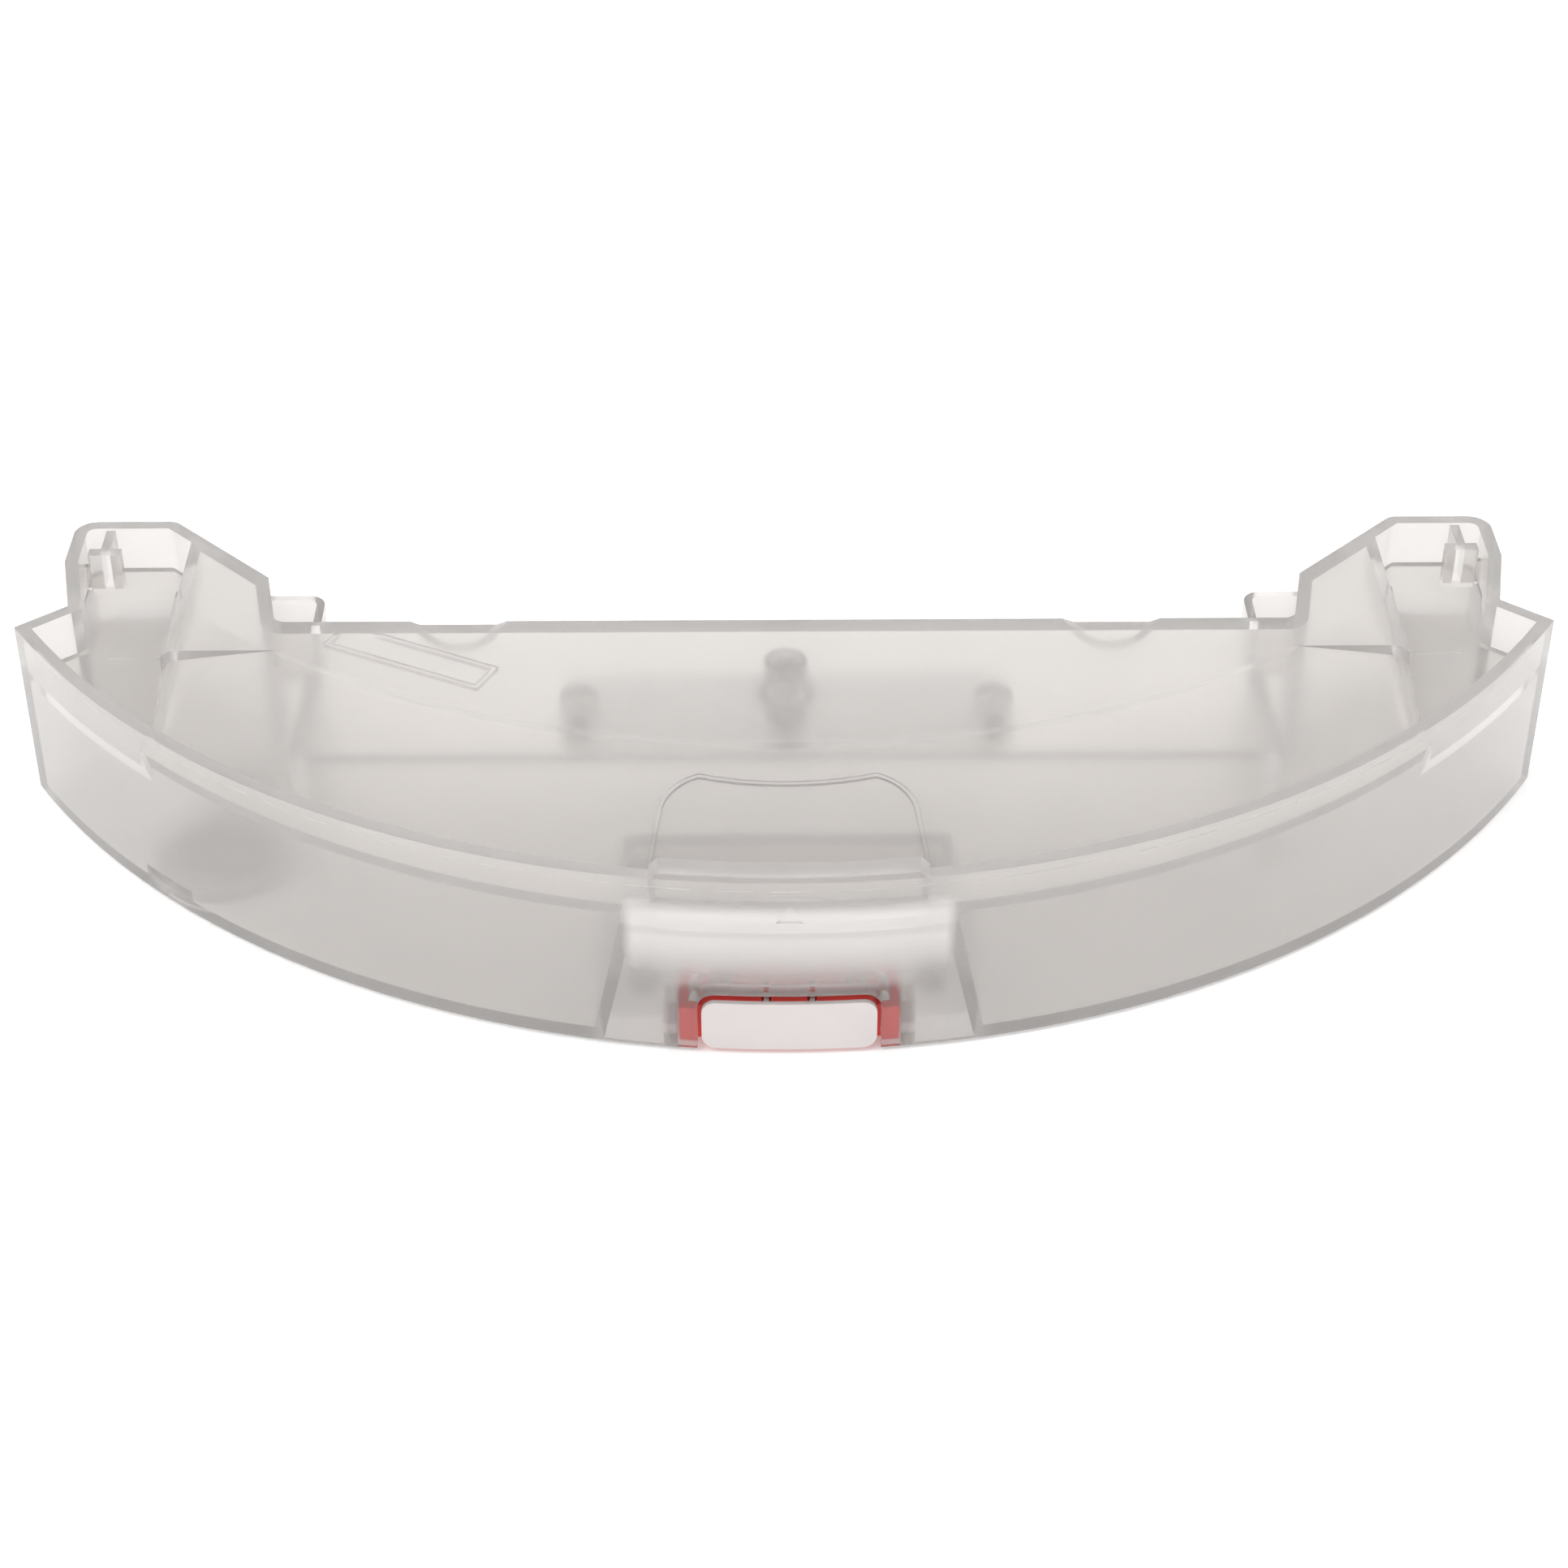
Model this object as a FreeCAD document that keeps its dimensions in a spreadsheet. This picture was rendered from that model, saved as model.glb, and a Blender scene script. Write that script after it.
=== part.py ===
import FreeCAD, Part
import math
import os
import re
import Sketcher
from FreeCAD import Placement, Rotation, Vector

# Water tank of a robot vacuum, lying on its real top plate with the mop side up.
# X runs across the robot, -Y is the curved outer wall, +Y faces the robot, Z is up.
# Depths are measured from the foremost point of the outer wall towards the robot.

SIZES = {
    # Outline in plan
    "outer_radius": 175.0,
    "tip_depth": 81.4,
    "notch_in": 3.4,
    "notch_step": 7.4,
    "wing_flank": 16.2,
    "wing_long": 15.0,
    "wing_wide": 19.8,
    "diagonal_half": 101.3,
    "diagonal_depth": 98.8,
    "rear_half": 98.2,
    "rear_depth": 82.8,
    "wing_round": 4.5,
    "wing_inner_round": 3.0,
    "rear_round": 2.5,
    # Heights and walls
    "height": 38.3,
    "rim_strip": 1.8,
    "wall": 2.6,
    "plate": 2.2,
    "lap": 1.3,
    "lap_level": 26.8,
    "weld_gap": 0.05,
    "bottom_chamfer": 0.8,
    "beyond": 1.0,
    # Recess in the real top plate, towards the robot
    "recess_half": 90.0,
    "recess_front": 55.0,
    # Mop side: flat rear field, crease and sloping front field
    "crease_radius": 165.5,
    "crease_centre_depth": 207.4,
    "slope_angle": 10.6,
    "shelf_front": 73.0,
    "shelf_round": 2.5,
    "partition_half": 118.3,
    "pocket_wide": 24.0,
    "partition": 1.9,
    "pocket_floor_level": 29.0,
    "floor_mark_deep": 0.3,
    "floor_mark_gap": 1.7,
    "floor_mark_wide": 11.6,
    "floor_mark_long": 21.6,
    "floor_mark_back": 14.0,
    # Half-moon notches in the rear rim
    "moon_x": 62.8,
    "moon_radius": 7.6,
    "moon_flare": 2.0,
    "moon_rise": 2.1,
    "moon_deep": 1.2,
    # Ledge behind the front wall and the bead round the finger area
    "ledge": 3.4,
    "ledge_half": 24.3,
    "ledge_chamfer": 1.9,
    "ledge_bend_depth": 5.6,
    "ledge_rear_depth": 8.2,
    "finger_front_half": 26.0,
    "finger_rear_half": 22.3,
    "finger_front_depth": 5.0,
    "finger_rear_depth": 34.4,
    "finger_round": 10.5,
    "finger_dip_radius": 61.0,
    "finger_dip_depth": 31.8,
    "bead": 0.8,
    "bead_high": 0.6,
    # Posts and webs in the wing pockets
    "post_in": 7.1,
    "post_half": 3.2,
    "post_back": 12.0,
    "post_thick": 2.5,
    "post_top": 37.8,
    "post_rib_half": 0.9,
    "low_web_back": 10.8,
    "low_web": 1.3,
    "low_web_top": 34.3,
    "gusset_back": 24.0,
    "gusset": 2.0,
    "gusset_foot": 3.2,
    "gusset_head": 1.0,
    "gusset_top": 36.3,
    # Rectangular rib under the flat field, left side
    "frame_x": 71.3,
    "frame_depth": 72.7,
    "frame_long": 34.0,
    "frame_wide": 8.0,
    "frame_rib": 1.0,
    "frame_deep": 0.8,
    "frame_turn": 26.7,
    # Guide loops behind the rear wall
    "loop_half": 89.6,
    "loop_depth": 94.9,
    "loop_wall": 1.6,
    "loop_round": 3.4,
    "loop_base": 24.6,
    # Latch well
    "well_half": 33.0,
    "well_top_half": 27.5,
    "well_rear": 30.0,
    "well_top_rear": 26.5,
    "well_wall": 2.0,
    # Button slot with its lip, and the latch guides
    "slot_half": 16.35,
    "slot_top": 13.2,
    "slot_round": 3.2,
    "lip_wall": 1.4,
    "lip_reach": 4.8,
    "lip_end": 10.3,
    "lip_rib_x": 4.05,
    "lip_rib": 1.0,
    "lip_rib_end": 10.4,
    "lip_rib_reach": 2.6,
    "lip_rib_inset": 2.0,
    "guide": 2.5,
    "guide_top": 9.8,
    "guide_rear": 9.0,
    "arrow_half": 2.4,
    "arrow_point_half": 0.2,
    "arrow_base": 29.6,
    "arrow_tip": 33.4,
    "arrow_deep": 0.3,
    # Release button and latch slider
    "slide_gap": 0.3,
    "latch_travel": 1.6,
    "button_half": 15.6,
    "button_bottom": 0.95,
    "button_top": 11.3,
    "button_round": 2.6,
    "button_thick": 1.0,
    "tenon_half": 6.0,
    "tenon_bottom": 3.0,
    "tenon_top": 6.0,
    "tenon_long": 1.8,
    "tenon_gap": 0.05,
    "latch_half": 19.5,
    "latch_top": 8.4,
    "latch_front": 5.2,
    "latch_rear": 19.0,
    "latch_bar": 2.8,
    "latch_plate": 2.2,
    "catch_half": 12.5,
    "catch_front": 11.0,
    # Latch springs
    "spring_x": 11.8,
    "spring_inset": 5.5,
    "spring_radius": 1.55,
    "spring_wire": 0.22,
    "spring_cup": 2.1,
    "spring_cup_floor": 3.2,
    "spring_pitch": 2.2,
    # Plate that keeps the latch in its well
    "retainer_thick": 1.8,
    "retainer_inset": 1.2,
    "retainer_gap": 0.8,
    "retainer_front": 10.2,
    "retainer_round": 2.0,
    "retainer_window_half": 12.0,
    "retainer_window_front": 12.0,
    "retainer_window_rear": 18.4,
    "retainer_screw_x": 26.0,
    "retainer_screw_depth": 20.0,
    "retainer_post": 3.0,
    # Screws
    "screw_shank": 1.2,
    "screw_head": 2.5,
    "screw_head_high": 1.0,
    "screw_long": 6.5,
    "screw_slot": 0.6,
    "screw_slot_half": 1.5,
    "screw_slot_deep": 0.6,
    "screw_gap": 0.1,
    "pilot_gap": 0.05,
    # Outlet fittings in the recess
    "boss": 3.65,
    "boss_top": 32.5,
    "outlet_screw_x": 39.1,
    "outlet_screw_depth": 64.1,
    "outlet_depth": 74.9,
    "outlet_bore": 2.5,
    "outlet_way": 2.0,
    "outlet_neck": 4.1,
    "outlet_neck_top": 33.0,
    "outlet_cover_half": 43.0,
    "outlet_cover_front": 58.5,
    "outlet_cover_rear": 81.0,
    "outlet_cover_thick": 2.2,
    "outlet_cover_round": 4.0,
    "seal_neck": 4.1,
    "seal_flange": 5.4,
    "seal_flange_high": 1.0,
    "seal_stand": 1.2,
    "seal_gap": 0.1,
    "filter_radius": 3.0,
    "filter_seat": 31.0,
    "filter_thick": 0.8,
    "filter_gap": 0.05,
    "filter_slot": 0.6,
    "filter_slot_half": 1.5,
    "filter_slot_step": 1.2,
    # Filling port and its hinged plug
    "fill_x": 107.0,
    "fill_depth": 57.0,
    "fill_port": 10.0,
    "fill_dish": 12.9,
    "fill_dish_deep": 2.4,
    "fill_pad": 1.6,
    "fill_gap": 0.4,
    "fill_barrel_gap": 0.15,
    "fill_barrel_taper": 0.45,
    "fill_barrel_high": 3.2,
    "fill_barrel_wall": 1.4,
    "fill_lid_inset": 0.35,
    "fill_lid_thick": 1.85,
    "fill_strap_half": 4.0,
    "fill_hinge_depth": 77.0,
    "fill_hinge_level": 1.3,
    "fill_hinge_radius": 0.9,
    "fill_pin": 0.6,
    "fill_pin_gap": 0.05,
    "fill_pin_long": 0.8,
    "fill_slot_rear": 2.4,
}

# Sizes that follow from those above
DERIVED = {
    "notch_depth": "tip_depth + notch_step",
    "wing_bend_depth": "notch_depth + wing_flank",
    "depth": "wing_bend_depth + wing_long",
    "wing_half": "partition_half + pocket_wide",
    "notch_half": "wing_half - notch_in",
    "wing_inner_half": "wing_half - wing_wide",
    "floor_mark_inner": "partition_half + floor_mark_gap",
    "floor_mark_outer": "floor_mark_inner + floor_mark_wide",
    "floor_mark_rear": "depth - floor_mark_back",
    "floor_mark_front": "floor_mark_rear - floor_mark_long",
    "post_x": "wing_half - post_in",
    "post_depth": "depth - post_back",
    "low_web_depth": "depth - low_web_back",
    "gusset_depth": "depth - gusset_back",
}

NODES = []
UPRIGHT = Rotation(Vector(1, 0, 0), 90)
TOWARDS_REAR = Rotation(Vector(1, 0, 0), -90)
ALONG_X = Rotation(Vector(0, 1, 0), 90)

# Heights that several parts meet at
SEAM = "height - rim_strip"
DECK_BASE = "lap_level - plate"
RETAINER_TOP = "retainer_inset + retainer_thick"
OUTLET_SEAT = "lap_level - plate - outlet_cover_thick"
BUTTON_BACK = "outer_radius - button_thick"
LATCH_FACE = "outer_radius - wall - slide_gap"
LATCH_PLATE_TOP = "retainer_inset + retainer_thick + slide_gap + latch_plate"
SPRING_DEPTH = "outer_radius - sqrt((outer_radius - spring_inset) ^ 2 - spring_x ^ 2)"
FILTER_SLOTS = 3
WIRE_SIDES = 4


def make_sheet():
    sheet = doc.addObject("Spreadsheet::Sheet", "Sizes")
    for row, (name, value) in enumerate({**SIZES, **DERIVED}.items(), 1):
        sheet.set("A%d" % row, name)
        sheet.setAlias("B%d" % row, name)
        sheet.set("B%d" % row, "=" + str(value))
    doc.recompute()


def formula(text):
    """The same sum or formula, with each size read from the sheet."""
    return re.sub(r"\b([a-z][a-z_]+)\b(?!\()", r"Sizes.\1", text)


def amount(text):
    """First guess of a sum such as "rear_depth - wall", for a sketch before it is solved."""
    total, sign = 0.0, 1.0
    for word in text.split():
        if word in "+-":
            sign = -1.0 if word == "-" else 1.0
        else:
            total += sign * (amount(DERIVED[word]) if word in DERIVED else SIZES[word])
    return total


def bind(thing, **formulas):
    for name, text in formulas.items():
        thing.setExpression(name.replace("_", "."), formula(text))
    return thing


def place(thing, x="0", depth="0", z="0", turn=None):
    """Puts a shape at x, at a depth from the front, and at height z."""
    if turn is not None:
        thing.Placement = Placement(Vector(0, 0, 0), turn)
    from_front = "%s - depth / 2" % depth
    return bind(thing, Placement_Base_x=x, Placement_Base_y=from_front, Placement_Base_z=z)


def profile(name, corners, mirrored=True, arc=None, turn=None, z="0"):
    """A closed outline through corners (x, y, rounding), mirrored about x = 0 if asked.

    The last corner joins the first by a line, or by an arc of radius arc through the sketch's origin. With an arc,
    the first corner's x comes from the arc, and the x given is only where the solver starts.
    """
    sketch = doc.addObject("Sketcher::SketchObject", name)
    place(sketch, z=z, turn=turn)
    full = [(amount(x), amount(y), rounding) for x, y, rounding in corners]
    if mirrored:
        full += [(-x, y, rounding) for x, y, rounding in reversed(full)]
    count = len(full)

    def limit(kind, *args):
        text = args[-1]
        index = sketch.addConstraint(Sketcher.Constraint(kind, *args[:-1], amount(text)))
        sketch.setExpression("Constraints[%d]" % index, formula(text))

    spots = [Vector(x, y, 0) for x, y, rounding in full]
    points = [sketch.addGeometry(Part.Point(spot), True) for spot in spots]
    for k, (x, y, rounding) in enumerate(corners):
        if k > 0 or not arc:
            limit("DistanceX", -1, 1, points[k], 1, x)
        limit("DistanceY", -1, 1, points[k], 1, y)
        if mirrored:
            sketch.addConstraint(Sketcher.Constraint("Symmetric", points[k], 1, points[count - 1 - k], 1, -2))

    lines = []
    for k in range(count - 1 if arc else count):
        start, end = spots[k], spots[(k + 1) % count]
        step = (end - start).normalize() * 0.01
        lines.append(sketch.addGeometry(Part.LineSegment(start + step, end - step)))
    for k, (x, y, rounding) in enumerate(full):
        open_end = arc and k == 0
        before = None if open_end else lines[k - 1]
        after = None if arc and k == count - 1 else lines[k]
        if rounding is None:
            if before is not None:
                sketch.addConstraint(Sketcher.Constraint("Coincident", before, 2, points[k], 1))
            if after is not None:
                sketch.addConstraint(Sketcher.Constraint("Coincident", after, 1, points[k], 1))
            continue
        corner = spots[k]
        back = (spots[k - 1] - corner).normalize()
        ahead = (spots[(k + 1) % count] - corner).normalize()
        half_angle = back.getAngle(ahead) / 2
        radius = amount(rounding)
        centre = corner + (back + ahead).normalize() * (radius / math.sin(half_angle))
        touch_back = corner + back * (radius / math.tan(half_angle)) - centre
        touch_ahead = corner + ahead * (radius / math.tan(half_angle)) - centre
        angles = [math.atan2(touch.y, touch.x) for touch in (touch_back, touch_ahead)]
        turns_left = touch_back.cross(touch_ahead).z > 0
        first, last = angles if turns_left else reversed(angles)
        bend = sketch.addGeometry(Part.ArcOfCircle(Part.Circle(centre, Vector(0, 0, 1), radius), first, last))
        enter, leave = (1, 2) if turns_left else (2, 1)
        for line in (before, after):
            sketch.addConstraint(Sketcher.Constraint("PointOnObject", points[k], 1, line))
        sketch.addConstraint(Sketcher.Constraint("Tangent", before, 2, bend, enter))
        sketch.addConstraint(Sketcher.Constraint("Tangent", bend, leave, after, 1))
        limit("Radius", bend, rounding)

    if arc:
        radius = amount(arc)
        end_angle = math.asin(full[0][0] / radius) - math.pi / 2
        circle = Part.Circle(Vector(0, radius, 0), Vector(0, 0, 1), radius)
        bow = sketch.addGeometry(Part.ArcOfCircle(circle, -math.pi - end_angle, end_angle))
        limit("Radius", bow, arc)
        limit("DistanceY", -1, 1, bow, 3, arc)
        sketch.addConstraint(Sketcher.Constraint("Coincident", bow, 2, points[0], 1))
        sketch.addConstraint(Sketcher.Constraint("Coincident", bow, 1, points[count - 1], 1))
    return sketch


def inset(name, sketch, by):
    line = doc.addObject("Part::Offset2D", name)
    line.Source = sketch
    line.Join = 2
    return bind(line, Value="-(%s)" % by)


def extrude(name, base, bottom, top):
    """A straight solid over a plan outline, from one height to another."""
    solid = doc.addObject("Part::Extrusion", name)
    solid.Base = base
    solid.DirMode = "Custom"
    solid.Dir = Vector(0, 0, 1)
    solid.Solid = True
    bind(solid, LengthFwd="%s - (%s)" % (top, bottom))
    return bind(solid, Placement_Base_z=bottom)


def extrude_back(name, base, front, rear):
    """A straight solid over an outline that stands upright, between two depths."""
    solid = doc.addObject("Part::Extrusion", name)
    solid.Base = base
    solid.DirMode = "Custom"
    solid.Dir = Vector(0, 1, 0)
    solid.Solid = True
    bind(solid, LengthFwd="%s - (%s)" % (rear, front))
    return bind(solid, Placement_Base_y=front)


def block(name, left, right, front, rear, bottom, top):
    solid = doc.addObject("Part::Box", name)
    bind(solid, Length="%s - (%s)" % (right, left), Width="%s - (%s)" % (rear, front))
    bind(solid, Height="%s - (%s)" % (top, bottom))
    return place(solid, left, front, bottom)


def cylinder(name, radius, x, depth, bottom, top):
    solid = doc.addObject("Part::Cylinder", name)
    bind(solid, Radius=radius, Height="%s - (%s)" % (top, bottom))
    return place(solid, x, depth, bottom)


def disc(name, radius, bottom="-1", top="height + 1"):
    """A cylinder about the axis of the curved outer wall."""
    return cylinder(name, radius, "0", "outer_radius", bottom, top)


def combine(kind, name, shapes):
    result = doc.addObject(kind, name)
    result.Shapes = list(shapes)
    return result


def fuse(name, *shapes):
    return combine("Part::MultiFuse", name, shapes)


def common(name, *shapes):
    return combine("Part::MultiCommon", name, shapes)


def cut(name, base, *tools):
    result = doc.addObject("Part::Cut", name)
    result.Base = base
    result.Tool = tools[0] if len(tools) == 1 else fuse(name + "Tools", *tools)
    return result


def mirror(name, source):
    twin = doc.addObject("Part::Mirroring", name)
    twin.Source = source
    twin.Normal = Vector(1, 0, 0)
    return twin


def both(name, source):
    return fuse(name + "Pair", source, mirror(name + "Twin", source))


def node(thing, label):
    thing.Label = label
    NODES.append(thing)
    return thing


def plan_outlines():
    """The tank's outline in plan, with its insets for the lap joint and for the inner wall face."""
    corners = [
        ("wing_half", "tip_depth", None),
        ("notch_half", "notch_depth", None),
        ("wing_half", "wing_bend_depth", None),
        ("wing_half", "depth", "wing_round"),
        ("wing_inner_half", "depth", "wing_inner_round"),
        ("diagonal_half", "diagonal_depth", None),
        ("rear_half", "rear_depth", "rear_round"),
    ]
    outer = profile("Outline", corners, arc="outer_radius")
    skirt_line = inset("SkirtLine", outer, "lap + weld_gap")
    return outer, skirt_line, inset("LapLine", outer, "lap"), inset("InnerLine", outer, "wall")


def slope_cone(name, drop):
    """Everything below the mop-side field, a flat disc with a sloping skirt, lowered by drop."""
    cone = doc.addObject("Part::Cone", name)
    bind(cone, Radius2="crease_radius", Height="height")
    bind(cone, Radius1="crease_radius + height / tan(slope_angle * 1deg)")
    return place(cone, "0", "crease_centre_depth", "-(%s)" % drop)


def half_moons(name):
    """Flared round notches in the outer face of the rear wall."""
    cone = doc.addObject("Part::Cone", name)
    bind(cone, Radius1="moon_radius", Radius2="moon_radius + 2 * moon_flare", Height="2 * moon_deep")
    place(cone, "moon_x", "rear_depth - moon_deep", "height + moon_rise", turn=TOWARDS_REAR)
    return both(name, cone)


def well_block(name, grow, top):
    """The tapered block that the latch well is made from, grown by its wall."""
    wedge = doc.addObject("Part::Wedge", name)
    bind(wedge, Xmin="-well_half - %s" % grow, Xmax="well_half + %s" % grow)
    bind(wedge, X2min="-well_top_half - %s" % grow, X2max="well_top_half + %s" % grow)
    bind(wedge, Ymin="0", Ymax=top, Zmin="-well_rear - %s" % grow, Z2min="-well_top_rear - %s" % grow)
    bind(wedge, Zmax="0", Z2max="0")
    return place(wedge, turn=UPRIGHT)


def slot_prism(name, grow, bottom, front, rear):
    """An upright block with two rounded upper corners, the form of the button slot, grown if asked."""
    half, top, rounding = (size + (" + " + grow if grow else "") for size in ("slot_half", "slot_top", "slot_round"))
    corners = [(half, bottom, None), (half, top + " + wall", rounding)]
    return extrude_back(name, profile(name + "Line", corners, turn=UPRIGHT, z="-wall"), front, rear)


def seat_screw(label, x, depth, seat):
    """A pan-head screw driven upwards, with its head's bearing face at height seat."""
    head = cylinder(label + "_head", "screw_head", x, depth, "%s - screw_head_high" % seat, seat)
    shank = cylinder(label + "_shank", "screw_shank", x, depth, "%s - screw_head_high / 2" % seat,
                     "%s + screw_long" % seat)
    bottom = "%s - screw_head_high - beyond" % seat
    top = "%s - screw_head_high + screw_slot_deep" % seat
    slots = []
    for wide, deep in (("screw_slot_half", "screw_slot / 2"), ("screw_slot / 2", "screw_slot_half")):
        slots.append(block("%s_slot%d" % (label, len(slots)), "%s - %s" % (x, wide), "%s + %s" % (x, wide),
                           "%s - %s" % (depth, deep), "%s + %s" % (depth, deep), bottom, top))
    node(cut(label + "_body", fuse(label + "_solid", head, shank), *slots), label)


def screw_hole(name, x, depth, plate_bottom, plate_top):
    return cylinder(name, "screw_shank + screw_gap", x, depth, "%s - beyond" % plate_bottom, "%s + beyond" % plate_top)


def pilot_hole(name, x, depth, seat):
    """A blind hole that a screw cuts its thread in."""
    top = "%s + screw_long + screw_head_high / 2" % seat
    return cylinder(name, "screw_shank + pilot_gap", x, depth, "%s - beyond" % seat, top)


def latch_well(front_disc):
    """The hollow of the latch well, with the guides, posts and slot lip left standing in it, and the lip's ribs."""
    hollow = well_block("WellHollow", "0", "lap_level - well_wall")
    guide = block("Guide", "latch_half + slide_gap", "latch_half + slide_gap + guide", "0", "guide_rear",
                  "-beyond", "guide_top")
    post = cylinder("Post", "retainer_post", "retainer_screw_x", "retainer_screw_depth", RETAINER_TOP, "lap_level")
    lip_outside = slot_prism("LipOutside", "lip_wall", "lap", "0", "well_rear")
    lip_inside = slot_prism("LipInside", "", "lap", "-beyond", "well_rear + beyond")
    lip_back = disc("LipBack", "outer_radius - wall - lip_reach")
    lip_room = block("LipRoom", "-well_half", "well_half", "-beyond", "well_rear", "lip_end", "lap_level")
    lip = common("Lip", cut("LipBow", lip_outside, lip_inside, lip_back), lip_room)
    rib = block("LipRib", "lip_rib_x - lip_rib / 2", "lip_rib_x + lip_rib / 2", "0", "well_rear",
                "lip_rib_end", "slot_top + lip_wall / 2")
    rib_front = disc("LipRibFront", "outer_radius - lip_rib_inset")
    rib_back = disc("LipRibBack", "outer_radius - lip_rib_inset - lip_rib_reach")
    rib = cut("LipRibTrimmed", common("LipRibCurved", rib, rib_front), rib_back)
    rib = both("LipRibs", rib)
    hollow = cut("Well", common("WellBehindWall", hollow, front_disc), both("Guides", guide), both("Posts", post), lip, rib)
    return hollow, rib


def button_slot(front_disc, lip_ribs):
    return cut("ButtonSlot", slot_prism("SlotPrism", "", "lap", "-beyond", "guide_rear"), front_disc, lip_ribs)


def guide_loops(tank_block):
    """Open-topped loops behind both ends of the rear wall."""
    corners = [
        ("loop_half", "rear_depth - loop_wall", None),
        ("loop_half", "loop_depth", "loop_round"),
        ("diagonal_half + loop_wall", "loop_depth", None),
        ("diagonal_half + loop_wall", "rear_depth - loop_wall", None),
    ]
    line = profile("LoopLine", corners, mirrored=False)
    outside = extrude("LoopOutside", line, "loop_base", SEAM)
    inside = extrude("LoopInside", inset("LoopInnerLine", line, "loop_wall"), "loop_base + loop_wall", "height")
    return both("Loops", cut("Loop", outside, inside, tank_block))


def fill_opening():
    """The dish, port and strap pocket for the plug, and the thicker plate that holds them."""
    x, depth = "-fill_x", "fill_depth"
    pad_top = "fill_dish_deep + plate"
    pocket_rear = "fill_hinge_depth + fill_slot_rear"
    half = "(fill_strap_half + fill_gap)"
    pad = fuse(
        "FillPad",
        cylinder("FillPadRound", "fill_dish + fill_pad", x, depth, "0", pad_top),
        block("FillPadStrap", "-fill_x - %s - fill_pad" % half, "-fill_x + %s + fill_pad" % half, depth,
              pocket_rear + " + fill_pad", "0", pad_top),
    )
    opening = fuse(
        "FillOpening",
        cylinder("FillDish", "fill_dish", x, depth, "-beyond", "fill_dish_deep"),
        cylinder("FillPort", "fill_port", x, depth, "0", "height"),
        block("FillPocket", "-fill_x - " + half, "-fill_x + " + half, depth, pocket_rear, "-beyond", "fill_dish_deep"),
        hinge_pin("FillSockets", "fill_pin + fill_pin_gap", half + " + fill_pin_long"),
    )
    return pad, opening


def hinge_pin(name, radius, half):
    """A cylinder along the plug's hinge axis."""
    pin = doc.addObject("Part::Cylinder", name)
    bind(pin, Radius=radius, Height="2 * (%s)" % half)
    return place(pin, "-fill_x - (%s)" % half, "fill_hinge_depth", "fill_hinge_level", turn=ALONG_X)


def outlet_screws():
    return [("left", "-outlet_screw_x", "outlet_screw_depth"), ("middle", "0", "outlet_screw_depth"),
            ("right", "outlet_screw_x", "outlet_screw_depth")]


def retainer_screws():
    return [("left", "-retainer_screw_x", "retainer_screw_depth"), ("right", "retainer_screw_x", "retainer_screw_depth")]


def tank_block_on_foot(outer):
    """The tank's full block, with a small slope all round its foot."""
    straight = extrude("TankBlock", outer, "bottom_chamfer", SEAM)
    foot = doc.addObject("Part::Extrusion", "TankFoot")
    foot.Base = outer
    foot.DirMode = "Custom"
    foot.Dir = Vector(0, 0, -1)
    foot.Solid = True
    foot.TaperAngle = -45
    bind(foot, LengthFwd="bottom_chamfer", Placement_Base_z="bottom_chamfer")
    return fuse("TankSolid", straight, foot)


def tank_body(outer, lap_line, inner_line):
    """The frosted shell: chamber, lap for the cover, recess, latch well, outlet and filling port."""
    front_disc = disc("WallFace", "outer_radius - wall")
    tank_block = tank_block_on_foot(outer)
    loops = guide_loops(tank_block)
    pad, opening = fill_opening()
    recess = block("Recess", "-recess_half", "recess_half", "recess_front", "depth", "-beyond", DECK_BASE)
    recess_skin = block("RecessSkin", "-recess_half - wall", "recess_half + wall", "recess_front - wall", "depth",
                        "-beyond", "lap_level")
    well_skin = well_block("WellSkin", "well_wall", "lap_level")
    low = extrude("LowChamber", inner_line, "plate", "lap_level")
    chamber = cut("Chamber", low, recess_skin, well_skin, pad)

    stand = [cylinder("OutletNeck", "outlet_neck", "0", "outlet_depth", DECK_BASE, "outlet_neck_top")]
    bores = [
        cylinder("OutletWay", "outlet_way", "0", "outlet_depth", DECK_BASE + " - beyond", "height"),
        cylinder("FilterSeat", "filter_radius", "0", "outlet_depth", "filter_seat", "height"),
    ]
    for side, x, depth in outlet_screws():
        stand.append(cylinder("Boss_" + side, "boss", x, depth, DECK_BASE, "boss_top"))
        bores.append(pilot_hole("BossPilot_" + side, x, depth, OUTLET_SEAT))
    for side, x, depth in retainer_screws():
        bores.append(pilot_hole("PostPilot_" + side, x, depth, "retainer_inset"))
    high = cut("HighChamber", extrude("HighChamberFull", lap_line, "lap_level", "height"), *stand)

    arrow_line = profile("ArrowLine", [("arrow_half", "arrow_base", None), ("arrow_point_half", "arrow_tip", None)],
                         turn=UPRIGHT)
    arrow = cut("Arrow", extrude_back("ArrowPrism", arrow_line, "-beyond", "well_rear"),
                disc("ArrowFloor", "outer_radius - arrow_deep"))
    well, lip_ribs = latch_well(front_disc)
    shell = fuse("Shell", tank_block, loops)
    hollows = [chamber, high, recess, well, button_slot(front_disc, lip_ribs), half_moons("TankMoon"), opening, arrow]
    return node(cut("TankBody", shell, *hollows, *bores), "tank_body")


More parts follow.
